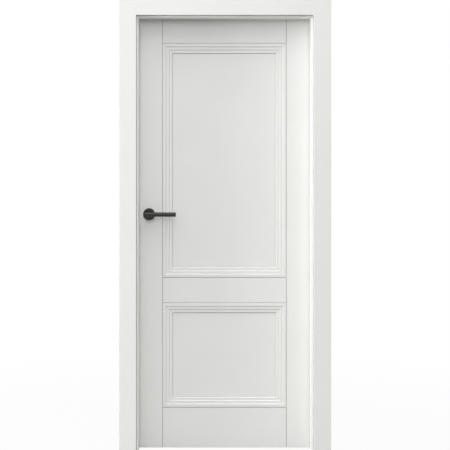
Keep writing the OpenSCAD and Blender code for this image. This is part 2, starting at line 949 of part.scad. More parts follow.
// Bolt with its bevelled head, tail, lug behind the hub's nose and spring guide
module latch_bolt() {
    tip_x = -leaf_u - bolt_throw;
    head_x1 = -leaf_u + bolt_head_l;
    y0 = leaf_yc - bolt_t / 2;
    y1 = leaf_yc + bolt_t / 2;
    color("gainsboro") {
        translate([0, 0, bolt_z - bolt_h / 2]) linear_extrude(bolt_h)
            polygon([
                [tip_x, y1], [tip_x, y1 - bolt_tip_t], [-leaf_u - bolt_tip_t, y0],
                [head_x1, y0], [head_x1, y1]
            ]);
        translate([head_x1 - 1, leaf_yc - arm_t / 2, tail_z0])
            cube([lug_x0 + lug_t - head_x1 + 1, arm_t, tail_h]);
        translate([lug_x0, leaf_yc - arm_t / 2, lug_z0])
            cube([lug_t, arm_t, tail_z0 - lug_z0 + 1]);
        translate([lug_x0 + lug_t - 1, leaf_yc, guide_z]) rod_x(guide_d / 2, guide_l + 1);
    }
}

// Point j of ring i of the spring's wire, a helix around the bolt's guide
function spring_point(i, j, x0, pitch) =
    let (
        turn = 360 * i / spring_rings,
        side = 360 * j / spring_sides,
        r = spring_r + spring_wire / 2 * cos(side)
    )
    [x0 + pitch * i / spring_rings + spring_wire / 2 * sin(side), r * cos(turn), r * sin(turn)];

module latch_spring() {
    x0 = lug_x0 + lug_t + spring_wire / 2 + pocket;
    x1 = case_x1 - case_wall - spring_wire / 2 - pocket;
    pitch = (x1 - x0) / spring_turns;
    last = spring_turns * spring_rings;
    points = [
        for (i = [0 : last], j = [0 : spring_sides - 1]) spring_point(i, j, x0, pitch)
    ];
    sides = [
        for (i = [0 : last - 1], j = [0 : spring_sides - 1])
            let (k = (j + 1) % spring_sides, a = i * spring_sides, b = a + spring_sides)
                each [[a + j, a + k, b + k], [a + j, b + k, b + j]]
    ];
    first_cap = [for (j = [spring_sides - 1 : -1 : 0]) j];
    last_cap = [for (j = [0 : spring_sides - 1]) last * spring_sides + j];
    color("silver") translate([0, leaf_yc, guide_z])
        polyhedron(points = points, faces = concat(sides, [first_cap, last_cap]));
}

// Handle

// Puts a shape that grows along +Z onto the leaf's front, at the spindle
module on_front() {
    translate([spindle_x, leaf_y0, spindle_z]) rotate([90, 0, 0]) children();
}

module rose_bolt_places() {
    for (x = [-rose_bolt_pitch / 2, rose_bolt_pitch / 2])
        translate([spindle_x + x, leaf_y0, spindle_z]) children();
}

// Disc under a rose's cover, with seats for the bolts' heads
module rose_base_front() {
    r = rose_d / 2 - rose_wall - pocket;
    color("dimgray") difference() {
        on_front() difference() {
            cylinder(r = r, h = rose_base_h);
            translate([0, 0, -1]) cylinder(r = neck_d / 2 + 2 * fit, h = rose_base_h + 2);
        }
        rose_bolt_places() {
            translate([0, -rose_base_h - 1, 0]) rod_y(rose_bolt_d / 2 + fit, rose_base_h + 2);
            translate([0, -rose_base_h - 1, 0])
                rod_y(rose_bolt_head_d / 2 + fit, rose_bolt_head_h + 1);
        }
    }
}

module rose_base_back() {
    back_face() rose_base_front();
}

// Two through bolts with a head at each end
module rose_bolts() {
    l = leaf_t + 2 * rose_base_h;
    color("silver") rose_bolt_places() translate([0, -rose_base_h, 0]) {
        rod_y(rose_bolt_d / 2, l);
        rod_y(rose_bolt_head_d / 2, rose_bolt_head_h);
        translate([0, l - rose_bolt_head_h, 0]) rod_y(rose_bolt_head_d / 2, rose_bolt_head_h);
    }
}

// Cup over the base with a rounded rim and the neck's hole
module rose_cover_front() {
    r = rose_d / 2;
    color("black") on_front() rotate_extrude() difference() {
        union() {
            square([r, rose_h - rose_edge]);
            square([r - rose_edge, rose_h]);
            translate([r - rose_edge, rose_h - rose_edge]) circle(rose_edge);
        }
        translate([-1, -1]) square([neck_d / 2 + running + 1, rose_h + 2]);
        translate([0, -1]) square([r - rose_wall, rose_h - rose_wall + 1]);
    }
}

module rose_cover_back() {
    back_face() rose_cover_front();
}

// A round bar along X between two places, its ends bevelled by e0 and e1
module bar_piece(x0, x1, e0, e1) {
    r = bar_d / 2;
    translate([x0, 0, bar_reach]) rotate([0, 90, 0]) rotate_extrude()
        polygon([
            [0, 0], [r - e0, 0], [r, e0],
            [r, x1 - x0 - e1], [r - e1, x1 - x0], [0, x1 - x0]
        ]);
}

// Neck and short tee of the lever, with sockets for spindle, grub screw and grip
module lever_neck_front() {
    side = spindle_s + 2 * spindle_fit;
    color("black") on_front() difference() {
        union() {
            translate([0, 0, neck_gap]) cylinder(d = neck_d, h = bar_reach - neck_gap);
            bar_piece(-bar_tail, seam_x, bar_edge, seam_edge);
        }
        translate([-side / 2, -side / 2, 0]) cube([side, side, neck_socket_l]);
        translate([0, -neck_d, grub_y]) rod_y(grub_d / 2 + fit, neck_d);
        translate([seam_x - spigot_l - pocket, 0, bar_reach])
            rod_x(spigot_d / 2 + fit, spigot_l + 1);
    }
}

module lever_neck_back() {
    back_face() lever_neck_front();
}

// Grip of the lever, held in the tee by a spigot
module lever_grip_front() {
    color("black") on_front() {
        bar_piece(seam_x, bar_l, seam_edge, bar_edge);
        translate([seam_x - spigot_l, 0, bar_reach]) rod_x(spigot_d / 2, spigot_l + 1);
    }
}

module lever_grip_back() {
    back_face() lever_grip_front();
}

module spindle() {
    l = leaf_t + 2 * (neck_socket_l - neck_gap);
    color("silver") translate([spindle_x, leaf_yc, spindle_z])
        cube([spindle_s, l, spindle_s], center = true);
}

// Screws from below each neck onto the spindle, with a hexagon socket
module grub_screws() {
    color("silver") {
        grub_screw();
        back_face() grub_screw();
    }
}

module grub_screw() {
    l = (neck_d - spindle_s) / 2 - fit;
    on_front() translate([0, -neck_d / 2, grub_y]) difference() {
        rod_y(grub_d / 2, l);
        translate([0, -1, 0]) rotate([-90, 0, 0]) cylinder(d = grub_d / 2, h = l / 2 + 1, $fn = 6);
    }
}

jamb_latch();
jamb_hinge();
head_jamb();
casing_front_latch();
casing_front_hinge();
casing_front_head();
casing_back_latch();
casing_back_hinge();
casing_back_head();
seal_latch();
seal_hinge();
seal_head();
strike_plate();
strike_box();
strike_screws();
corner_screws();
hinge_frame_plate(hinge_z[0]);  // hinge_frame_plate_low
hinge_frame_plate(hinge_z[1]);  // hinge_frame_plate_mid
hinge_frame_plate(hinge_z[2]);  // hinge_frame_plate_high
hinge_pin(hinge_z[0]);  // hinge_pin_low
hinge_pin(hinge_z[1]);  // hinge_pin_mid
hinge_pin(hinge_z[2]);  // hinge_pin_high
hinge_frame_screws();
stile_latch();
stile_hinge();
rail_top();
rail_middle();
rail_bottom();
rail_dowels();
panel_upper();
panel_lower();
moulding_upper_front();
moulding_upper_back();
moulding_lower_front();
moulding_lower_back();
hinge_leaf_plate(hinge_z[0]);  // hinge_leaf_plate_low
hinge_leaf_plate(hinge_z[1]);  // hinge_leaf_plate_mid
hinge_leaf_plate(hinge_z[2]);  // hinge_leaf_plate_high
hinge_leaf_screws();
latch_case();
latch_cover();
latch_forend();
forend_screws();
latch_spring();
rose_base_front();
rose_base_back();
rose_cover_front();
rose_cover_back();
rose_bolts();
lever_neck_front();
lever_neck_back();
lever_grip_front();
lever_grip_back();
spindle();
latch_hub();
grub_screws();
latch_bolt();
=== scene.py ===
import math
import bmesh
import bpy
from mathutils import Matrix, Vector


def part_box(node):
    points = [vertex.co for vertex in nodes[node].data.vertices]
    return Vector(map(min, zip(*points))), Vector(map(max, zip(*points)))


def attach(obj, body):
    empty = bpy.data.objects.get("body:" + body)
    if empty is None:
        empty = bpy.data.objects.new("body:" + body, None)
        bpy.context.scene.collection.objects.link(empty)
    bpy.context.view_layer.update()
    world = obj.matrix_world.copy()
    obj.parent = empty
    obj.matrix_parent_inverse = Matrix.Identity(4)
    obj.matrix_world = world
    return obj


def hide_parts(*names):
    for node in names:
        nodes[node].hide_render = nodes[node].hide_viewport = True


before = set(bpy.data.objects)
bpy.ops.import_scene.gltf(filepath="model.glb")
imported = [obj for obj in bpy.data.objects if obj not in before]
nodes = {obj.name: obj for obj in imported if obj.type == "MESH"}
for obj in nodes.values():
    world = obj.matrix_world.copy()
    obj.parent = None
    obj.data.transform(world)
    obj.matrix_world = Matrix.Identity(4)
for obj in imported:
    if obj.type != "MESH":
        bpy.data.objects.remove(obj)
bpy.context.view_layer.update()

scene = bpy.context.scene

# Places that several pieces share, in metres, read from the frame
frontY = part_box("casing_front_hinge")[0].y
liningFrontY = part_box("jamb_hinge")[0].y
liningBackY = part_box("jamb_hinge")[1].y
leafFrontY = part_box("stile_hinge")[0].y
leafMiddleY = (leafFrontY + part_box("stile_hinge")[1].y) / 2
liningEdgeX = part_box("jamb_hinge")[1].x
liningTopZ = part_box("head_jamb")[1].z
spindleCentre = sum(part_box("spindle"), Vector()) / 2
tiny = 1e-7  # two points this near are one


# Camera
cameraPlan = {
    "distance": 5.0,  # from the front casings' face
    "height": 1.287,
    "sideways": -0.135,
    "pixelSize": 0.004615,  # metres on the casings' face for one pixel
    "horizonRow": 175.2,
    "middleColumn": 195.75,
    "pictureSize": 450,
    "sensor": 36,
}


def makeCamera(plan):
    half = plan["pictureSize"] / 2
    data = bpy.data.cameras.new("doorCamera")
    data.sensor_width = plan["sensor"]
    data.lens = plan["sensor"] * plan["distance"] / (plan["pixelSize"] * plan["pictureSize"])
    data.shift_x = (half - plan["middleColumn"]) / plan["pictureSize"]
    data.shift_y = (plan["horizonRow"] - half) / plan["pictureSize"]
    camera = bpy.data.objects.new("doorCamera", data)
    camera.location = (plan["sideways"], frontY - plan["distance"], plan["height"])
    camera.rotation_euler = (math.radians(90), 0, 0)
    scene.collection.objects.link(camera)
    scene.camera = camera


# Lights: large soft lamps under a pale sky. A lamp that isn't mirrored shows in no reflection
lampPlans = [
    {"name": "overLamp", "place": (0.0, -1.8, 4.6), "aim": (0.0, -0.2, 1.15),
     "wide": 3.0, "high": 2.4, "power": 33.6, "mirrored": True},
    {"name": "upperLamp", "place": (0.0, -4.6, 3.6), "aim": (0.0, 0.0, 1.15),
     "wide": 2.6, "high": 1.2, "power": 30, "mirrored": True},
    {"name": "frontLamp", "place": (0.0, -5.2, 2.4), "aim": (0.0, 0.0, 1.3),
     "wide": 2.6, "high": 1.2, "power": 40.5, "mirrored": False},
    {"name": "leftLamp", "place": (-2.6, -0.32, 1.5), "aim": (0.3, 0.0, 1.25),
     "wide": 0.6, "high": 2.2, "power": 88, "mirrored": True},
    {"name": "backLamp", "place": (1.4, 4.6, 2.6), "aim": (0.0, 0.0, 1.15),
     "wide": 3.0, "high": 2.4, "power": 105, "mirrored": True},
]
skyLook = {"lean": (-0.69, 0.0, 1.925)}  # points to the brightest part, above and to the left
white = (1, 1, 1, 1)


def makeLamp(plan):
    data = bpy.data.lights.new(plan["name"], "AREA")
    data.shape = "RECTANGLE"
    data.size = plan["wide"]
    data.size_y = plan["high"]
    data.energy = plan["power"]
    lamp = bpy.data.objects.new(plan["name"], data)
    lamp.location = plan["place"]
    lookAt = Vector(plan["aim"]) - Vector(plan["place"])
    lamp.rotation_euler = lookAt.to_track_quat("-Z", "Y").to_euler()
    lamp.visible_camera = False
    lamp.visible_glossy = plan["mirrored"]
    scene.collection.objects.link(lamp)


def makeWorld(look):
    world = bpy.data.worlds.new("studio")
    world.use_nodes = True
    tree = world.node_tree
    background = tree.nodes["Background"]
    background.inputs["Color"].default_value = white
    lean = tree.nodes.new("ShaderNodeVectorMath")
    lean.operation = "DOT_PRODUCT"
    lean.inputs[1].default_value = look["lean"]
    direction = tree.nodes.new("ShaderNodeTexCoord").outputs["Generated"]
    tree.links.new(direction, lean.inputs[0])
    sky = addMath(tree, "MAXIMUM", lean.outputs["Value"], 0)
    # What the camera, metal and glass see is white, or the sky itself where that is brighter
    strength = addMath(tree, "MAXIMUM", sky, addSeen(tree))
    tree.links.new(strength, background.inputs["Strength"])
    scene.world = world


floorPlan = {
    "radius": 3.2,
    "segments": 96,
    "drop": 0.0005,  # below the part's feet
    "color": (0.20, 0.20, 0.195, 1),
    "roughness": 0.9,
    "fade": (1.2, 3.0),  # the distances from the middle between which the glow grows
    "glow": (0.955, 1.0),
}


# Near the part the floor keeps a shadow, and towards its rim it fades into the backdrop
def makeFloor(plan):
    mesh = bpy.data.meshes.new("studioFloor")
    bm = bmesh.new()
    bmesh.ops.create_circle(bm, cap_ends=True, radius=plan["radius"], segments=plan["segments"])
    bm.to_mesh(mesh)
    bm.free()
    floor = bpy.data.objects.new("studioFloor", mesh)
    floor.location.z = -plan["drop"]
    scene.collection.objects.link(floor)
    material, tree, shader, coords = newMaterial("floorPaper")
    shader.inputs["Base Color"].default_value = plan["color"]
    shader.inputs["Roughness"].default_value = plan["roughness"]
    reach = tree.nodes.new("ShaderNodeVectorMath")
    reach.operation = "LENGTH"
    tree.links.new(coords, reach.inputs[0])
    glowing = addRange(tree, reach.outputs["Value"], plan["fade"], plan["glow"])
    share = addMath(tree, "MULTIPLY", glowing, addSeen(tree))
    glow = tree.nodes.new("ShaderNodeEmission")
    glow.inputs["Color"].default_value = white
    mix = tree.nodes.new("ShaderNodeMixShader")
    tree.links.new(share, mix.inputs["Fac"])
    tree.links.new(shader.outputs[0], mix.inputs[1])
    tree.links.new(glow.outputs[0], mix.inputs[2])
    tree.links.new(mix.outputs[0], tree.nodes["Material Output"].inputs["Surface"])
    floor.data.materials.append(material)


# Materials
def newMaterial(name):
    material = bpy.data.materials.new(name)
    material.use_nodes = True
    tree = material.node_tree
    coords = tree.nodes.new("ShaderNodeTexCoord").outputs["Object"]
    return material, tree, tree.nodes["Principled BSDF"], coords


def addNoise(tree, coords, scale, detail=2.0, stretch=(1, 1, 1)):
    mapping = tree.nodes.new("ShaderNodeMapping")
    mapping.inputs["Scale"].default_value = stretch
    noise = tree.nodes.new("ShaderNodeTexNoise")
    noise.inputs["Scale"].default_value = scale
    noise.inputs["Detail"].default_value = detail
    tree.links.new(coords, mapping.inputs["Vector"])
    tree.links.new(mapping.outputs[0], noise.inputs["Vector"])
    return noise.outputs["Fac"]


def addRange(tree, value, source, target):
    ramp = tree.nodes.new("ShaderNodeMapRange")
    ramp.inputs["From Min"].default_value, ramp.inputs["From Max"].default_value = source
    ramp.inputs["To Min"].default_value, ramp.inputs["To Max"].default_value = target
    tree.links.new(value, ramp.inputs["Value"])
    return ramp.outputs[0]


noiseSpan = (0.3, 0.7)  # where most of the noise lies


def addRamp(tree, value, low, high):
    return addRange(tree, value, noiseSpan, (low, high))


def addMath(tree, operation, first, second):
    step = tree.nodes.new("ShaderNodeMath")
    step.operation = operation
    for socket, value in zip(step.inputs, (first, second)):
        if isinstance(value, (int, float)):
            socket.default_value = value
        else:
            tree.links.new(value, socket)
    return step.outputs[0]


# One on the rays that show the backdrop: straight, mirrored or through glass
def addSeen(tree):
    path = tree.nodes.new("ShaderNodeLightPath").outputs
    seen = addMath(tree, "MAXIMUM", path["Is Camera Ray"], path["Is Glossy Ray"])
    return addMath(tree, "MAXIMUM", seen, path["Is Transmission Ray"])


def addColorMix(tree, value, first, second):
    mix = tree.nodes.new("ShaderNodeMix")
    mix.data_type = "RGBA"
    tree.links.new(value, mix.inputs["Factor"])
    for socket, color in ((mix.inputs["A"], first), (mix.inputs["B"], second)):
        if isinstance(color, tuple):
            socket.default_value = (*color, 1)
        else:
            tree.links.new(color, socket)
    return mix.outputs["Result"]


def addBump(tree, height, shader, strength, distance):
    bump = tree.nodes.new("ShaderNodeBump")
    bump.inputs["Strength"].default_value = strength
    bump.inputs["Distance"].default_value = distance
    tree.links.new(height, bump.inputs["Height"])
    tree.links.new(bump.outputs[0], shader.inputs["Normal"])


lacquerLook = {
    "light": (0.800, 0.800, 0.783),
    "dark": (0.785, 0.786, 0.768),
    "roughness": (0.36, 0.46),
    "cloudScale": 5.0,
    "cloudDetail": 3.0,
    "peelScale": 520.0,
    "peelDetail": 1.5,
    "peelStrength": 0.03,
    "peelDepth": 0.0002,
    "boardLight": (0.50, 0.36, 0.23),
    "boardDark": (0.38, 0.26, 0.155),
    "fibreScale": 260.0,
    "fibreDetail": 4.0,
    # The dark grey of the slots: primer in the joints, darkened further as painted shade
    "primerAndShade": (0.15, 0.15, 0.145),
}


# One inside any of the slots; a slot is a list of (axis, centre, near, far) that all hold,
# where the distance from the centre lies between near and far on either side
def addSlots(tree, split, slots):
    inside = 0
    for slot in slots:
        share = 1
        for axis, centre, near, far in slot:
            away = addMath(tree, "SUBTRACT", split.outputs[axis], centre)
            away = addMath(tree, "ABSOLUTE", away, 0)
            off = addMath(tree, "SUBTRACT", away, (near + far) / 2)
            held = addMath(tree, "LESS_THAN", addMath(tree, "ABSOLUTE", off, 0), (far - near) / 2)
            share = addMath(tree, "MULTIPLY", held, share)
        inside = addMath(tree, "MAXIMUM", share, inside)
    return inside


# Satin lacquer; rawTests are (axis, operation, limit) of the sides that were left as bare board
# and slots are the narrow joints and lines that get a dark grey, partly their primer and partly
# painted shade
def makeLacquer(name, look, rawTests=(), slots=()):
    material, tree, shader, coords = newMaterial(name)
    cloud = addNoise(tree, coords, look["cloudScale"], look["cloudDetail"])
    color = addColorMix(tree, addRamp(tree, cloud, 0, 1), look["light"], look["dark"])
    peel = addNoise(tree, coords, look["peelScale"], look["peelDetail"])
    roughness = addRamp(tree, cloud, *look["roughness"])
    split = tree.nodes.new("ShaderNodeSeparateXYZ")
    tree.links.new(coords, split.inputs[0])
    if slots:
        # Painted shade: inside the slots the colour turns dark grey
        color = addColorMix(tree, addSlots(tree, split, slots), color, look["primerAndShade"])
    if rawTests:
        raw = None
        for axis, operation, limit in rawTests:
            test = addMath(tree, operation, split.outputs[axis], limit)
            raw = test if raw is None else addMath(tree, "MAXIMUM", raw, test)
        fibre = addNoise(tree, coords, look["fibreScale"], look["fibreDetail"])
        board = addColorMix(tree, addRamp(tree, fibre, 0, 1), look["boardLight"],
                            look["boardDark"])
        color = addColorMix(tree, raw, color, board)
    tree.links.new(color, shader.inputs["Base Color"])
    tree.links.new(roughness, shader.inputs["Roughness"])
    addBump(tree, peel, shader, look["peelStrength"], look["peelDepth"])
    return material


grainDepth = 0.0001  # of the fine bumps in coat, steel, rubber and plastic

blackLook = {
    "light": (0.0040, 0.0040, 0.0041),
    "dark": (0.0025, 0.0025, 0.0026),
    "roughness": (0.22, 0.30),
    "specular": 0.45,
    "cloudScale": 60.0,
    "grainScale": 1400.0,
    "grainStrength": 0.15,
}


def makeBlackCoat(look):
    material, tree, shader, coords = newMaterial("blackCoat")
    grain = addNoise(tree, coords, look["grainScale"])
    cloud = addNoise(tree, coords, look["cloudScale"])
    color = addColorMix(tree, addRamp(tree, cloud, 0, 1), look["light"], look["dark"])
    tree.links.new(color, shader.inputs["Base Color"])
    tree.links.new(addRamp(tree, cloud, *look["roughness"]), shader.inputs["Roughness"])
    shader.inputs["Specular IOR Level"].default_value = look["specular"]
    addBump(tree, grain, shader, look["grainStrength"], grainDepth)
    return material


steelLooks = {
    "hingeSteel": {"color": (0.60, 0.60, 0.585), "roughness": (0.26, 0.38),
                   "stretch": (1, 1, 0.03), "scale": 900.0},
    "latchSteel": {"color": (0.64, 0.64, 0.63), "roughness": (0.22, 0.34),
                   "stretch": (1, 1, 0.03), "scale": 1100.0},
    "screwSteel": {"color": (0.58, 0.58, 0.56), "roughness": (0.25, 0.40),
                   "stretch": (1, 1, 1), "scale": 700.0},
    "zincSteel": {"color": (0.48, 0.50, 0.53), "roughness": (0.35, 0.55),
                  "stretch": (1, 1, 1), "scale": 120.0},
}
steelGrain = {"detail": 3.0, "shade": 0.86, "bump": 0.08}


def makeSteel(name, look):
    material, tree, shader, coords = newMaterial(name)
    grain = addNoise(tree, coords, look["scale"], steelGrain["detail"], look["stretch"])
    darker = tuple(c * steelGrain["shade"] for c in look["color"])
    color = addColorMix(tree, addRamp(tree, grain, 0, 1), look["color"], darker)
    tree.links.new(color, shader.inputs["Base Color"])
    tree.links.new(addRamp(tree, grain, *look["roughness"]), shader.inputs["Roughness"])
    shader.inputs["Metallic"].default_value = 1.0
    addBump(tree, grain, shader, steelGrain["bump"], grainDepth)
    return material


plainLooks = {
    "sealRubber": {"light": (0.42, 0.42, 0.41), "dark": (0.36, 0.36, 0.35),
                   "roughness": (0.55, 0.70), "scale": 400.0, "bump": 0.15},
    "darkPlastic": {"light": (0.030, 0.030, 0.031), "dark": (0.022, 0.022, 0.023),
                    "roughness": (0.45, 0.60), "scale": 500.0, "bump": 0.12},
}


def makePlain(name, look):
    material, tree, shader, coords = newMaterial(name)
    grain = addNoise(tree, coords, look["scale"])
    color = addColorMix(tree, addRamp(tree, grain, 0, 1), look["light"], look["dark"])
    tree.links.new(color, shader.inputs["Base Color"])
    tree.links.new(addRamp(tree, grain, *look["roughness"]), shader.inputs["Roughness"])
    addBump(tree, grain, shader, look["bump"], grainDepth)
    return material


# The dowels' grain runs along X
woodLook = {
    "light": (0.62, 0.43, 0.26),
    "dark": (0.46, 0.29, 0.16),
    "roughness": 0.6,
    "scale": 90.0,
    "detail": 5.0,
    "stretch": (0.08, 1, 1),
    "bump": 0.2,
    "bumpDepth": 0.0002,
}


def makeBareWood(look):
    material, tree, shader, coords = newMaterial("bareWood")
    grain = addNoise(tree, coords, look["scale"], look["detail"], look["stretch"])
    color = addColorMix(tree, addRamp(tree, grain, 0, 1), look["light"], look["dark"])
    tree.links.new(color, shader.inputs["Base Color"])
    shader.inputs["Roughness"].default_value = look["roughness"]
    addBump(tree, grain, shader, look["bump"], look["bumpDepth"])
    return material


# Meshes; an edge that turns by more than the sharp angle stays a crease
def finishMesh(name, bm, sharpAngle):
    bmesh.ops.recalc_face_normals(bm, faces=bm.faces)
    for face in bm.faces:
        face.smooth = True
    for edge in bm.edges:
        edge.smooth = edge.calc_face_angle(0) < math.radians(sharpAngle)
    mesh = bpy.data.meshes.new(name)
    bm.to_mesh(mesh)
    bm.free()
    piece = bpy.data.objects.new(name, mesh)
    scene.collection.objects.link(piece)
    return piece


def dressPiece(piece, material, body, node):
    piece.data.materials.append(material)
    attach(piece, body)
    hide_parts(node)


arcPlan = {"steps": 4, "leastTurn": 0.05, "longest": 0.45}  # radians, and a share of each side


# Each inner corner of the path becomes a small arc, unless the path hardly turns there
def roundPath(points, radius):
    steps, longest = arcPlan["steps"], arcPlan["longest"]
    path = [Vector(points[0])]
    for before, corner, after in zip(points, points[1:], points[2:]):
        corner = Vector(corner)
        inward = Vector(before) - corner
        outward = Vector(after) - corner
        turn = math.pi - inward.angle(outward)
        if turn < arcPlan["leastTurn"]:
            path.append(corner)
            continue
        reach = min(radius * math.tan(turn / 2), inward.length * longest,
                    outward.length * longest)
        start = corner + inward.normalized() * reach
        end = corner + outward.normalized() * reach
        for i in range(steps + 1):
            t = i / steps
            path.append(start * (1 - t) ** 2 + corner * 2 * t * (1 - t) + end * t ** 2)
    path.append(Vector(points[-1]))
    return path


# A solid turned about Z from (radius, height) points that start and end on the axis
def lathe(bm, points, segments, matrix):
    rings = []
    for radius, height in points:
        if radius < tiny:
            rings.append([bm.verts.new(matrix @ Vector((0, 0, height)))])
            continue
        ring = []
        for i in range(segments):
            angle = 2 * math.pi * i / segments
            place = Vector((radius * math.cos(angle), radius * math.sin(angle), height))
            ring.append(bm.verts.new(matrix @ place))
        rings.append(ring)
    for low, high in zip(rings, rings[1:]):
        for i in range(segments):
            j = (i + 1) % segments
            corners = [low[i % len(low)], low[j % len(low)],
                       high[j % len(high)], high[i % len(high)]]
            unique = list(dict.fromkeys(corners))
            if len(unique) > 2:
                bm.faces.new(unique)


# Mouldings: four mitred strips with the steps' edges eased
mouldingPlan = {
    "steps": 3,
    "stepDepth": 0.0035,
    "slopeWidth": 0.0025,
    "treadWidth": 0.01225,
    "firstTread": 0.01625,
    "lip": 0.001,  # of the strip's back below its last step
    "jointWidth": 0.0015,
    "jointDepth": 0.0035,
    "bevel": 0.00075,
    "notchWidth": 0.0009,  # of the fine groove at a slope's foot
    "notchDepth": 0.0010,
    "edge": 0.00035,
    "gap": 0.0001,
    "sharpAngle": 50,
}


# Section points as (distance in from the board's edge, depth below the leaf's face)
def mouldingSection(plan):
    depth = plan["steps"] * plan["stepDepth"] + plan["lip"]
    start, joint, bevel = plan["gap"], plan["jointWidth"], plan["bevel"]
    points = [(start, plan["jointDepth"]), (joint, plan["jointDepth"]), (joint, bevel),
              (joint + bevel, 0)]
    run = plan["slopeWidth"] + plan["treadWidth"]
    for i in range(plan["steps"]):
        top = plan["firstTread"] + i * run
        foot, level = top + plan["slopeWidth"], (i + 1) * plan["stepDepth"]
        points.append((top, i * plan["stepDepth"]))
        if i < plan["steps"] - 1:
            points.append((foot, level + plan["notchDepth"]))
            points.append((foot + plan["notchWidth"], level))
        else:
            points.append((foot, level))
    points.append((points[-1][0], depth))
    return [Vector((start, depth))] + roundPath(points, plan["edge"])


def makeMoulding(name, node, front, material):
    low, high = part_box(node)
    centre = (low + high) / 2
    gap = mouldingPlan["gap"]
    halfWide = (high.x - low.x) / 2 + gap
    halfHigh = (high.z - low.z) / 2 + gap
    faceY = low.y if front else high.y
    inward = 1 if front else -1
    section = mouldingSection(mouldingPlan)
    bm = bmesh.new()
    for turn in range(4):
        across, along = (halfHigh, halfWide) if turn % 2 == 0 else (halfWide, halfHigh)
        spin = Matrix.Rotation(math.radians(90 * turn), 3, "Y")
        ends = []
        for side in (-1, 1):
            ring = []
            for inset, depth in section:
                place = spin @ Vector((side * (along - inset - gap), 0, inset - across))
                place += Vector((centre.x, faceY + inward * depth, centre.z))
                ring.append(bm.verts.new(place))
            ends.append(ring)
        count = len(section)
        for i in range(count):
            j = (i + 1) % count
            bm.faces.new([ends[0][i], ends[0][j], ends[1][j], ends[1][i]])
        bm.faces.new(ends[0])
        bm.faces.new(list(reversed(ends[1])))
    piece = finishMesh(name, bm, mouldingPlan["sharpAngle"])
    dressPiece(piece, material, "leaf", node)


# Roses and levers, built on the front and mirrored to the back
leverPlan = {
    "roseRadius": 0.028,
    "roseHeight": 0.008,
    "roseWall": 0.0015,
    "roseEdge": 0.0016,
    "roseArcSteps": 8,
    "holeRadius": 0.0093,
    "holeEdge": 0.0004,
    "neckRadius": 0.009,
    "neckGap": 0.0005,
    "barRadius": 0.0105,
    "barReach": 0.050,  # of the bar's axis, from the leaf's face
    "barTail": 0.020,  # before the spindle
    "barLength": 0.126,  # beyond the spindle
    "seam": 0.0195,  # where the neck ends and the grip begins
    "barEdge": 0.0012,
    "seamEdge": 0.0004,
    "barArcSteps": 5,
    "segments": 96,
    "sharpAngle": 30,
    "castVoxel": 0.00045,
    "softenShare": 0.5,
    "softenRounds": 6,
}


# Local Z grows out of the leaf, local X runs along the lever
def leverMatrix(front):
    outward = -1 if front else 1
    faceY = leafFrontY if front else 2 * leafMiddleY - leafFrontY
    origin = Vector((spindleCentre.x, faceY, spindleCentre.z))
    turn = Matrix(((1, 0, 0), (0, 0, outward), (0, 1, 0)))
    return Matrix.Translation(origin) @ turn.to_4x4()


def makeRose(name, node, front, material):
    plan = leverPlan
    radius, height, edge = plan["roseRadius"], plan["roseHeight"], plan["roseEdge"]
    inner, wall = radius - plan["roseWall"], plan["roseWall"]
    hole, bevel, steps = plan["holeRadius"], plan["holeEdge"], plan["roseArcSteps"]
    outline = [Vector((radius, 0))]
    for i in range(steps + 1):
        angle = math.radians(90 * i / steps)
        outline.append(Vector((radius - edge + edge * math.cos(angle),
                               height - edge + edge * math.sin(angle))))
    outline += [Vector((hole + bevel, height)), Vector((hole, height - bevel)),
                Vector((hole, height - wall)), Vector((inner, height - wall)),
                Vector((inner, 0)), Vector((radius, 0))]
    bm = bmesh.new()
    lathe(bm, outline, plan["segments"], leverMatrix(front))
    bmesh.ops.remove_doubles(bm, verts=bm.verts, dist=tiny)
    piece = finishMesh(name, bm, plan["sharpAngle"])
    dressPiece(piece, material, "leaf", node)


# A round bar with eased ends, as (radius, height) points
def barOutline(length, firstEdge, lastEdge):
    radius, steps = leverPlan["barRadius"], leverPlan["barArcSteps"]

    def arc(edge, height, sign):
        points = []
        for i in range(steps + 1):
            angle = math.radians(90 * i / steps)
            points.append(Vector((radius - edge + edge * math.sin(angle),
                                  height + sign * (edge - edge * math.cos(angle)))))
        return points

    first = arc(firstEdge, 0, 1)
    last = arc(lastEdge, length, -1)
    return [Vector((0, 0))] + first + list(reversed(last)) + [Vector((0, length))]


# Lays the bar along the lever, from this distance before or beyond the spindle
def barMatrix(start):
    lift = Matrix.Translation((start, 0, leverPlan["barReach"]))
    return lift @ Matrix.Rotation(math.radians(90), 4, "Y")


def makeGrip(name, node, front, material):
    plan = leverPlan
    outline = barOutline(plan["barLength"] - plan["seam"], plan["seamEdge"], plan["barEdge"])
    bm = bmesh.new()
    lathe(bm, outline, plan["segments"], leverMatrix(front) @ barMatrix(plan["seam"]))
    piece = finishMesh(name, bm, plan["sharpAngle"])
    dressPiece(piece, material, "handle", node)


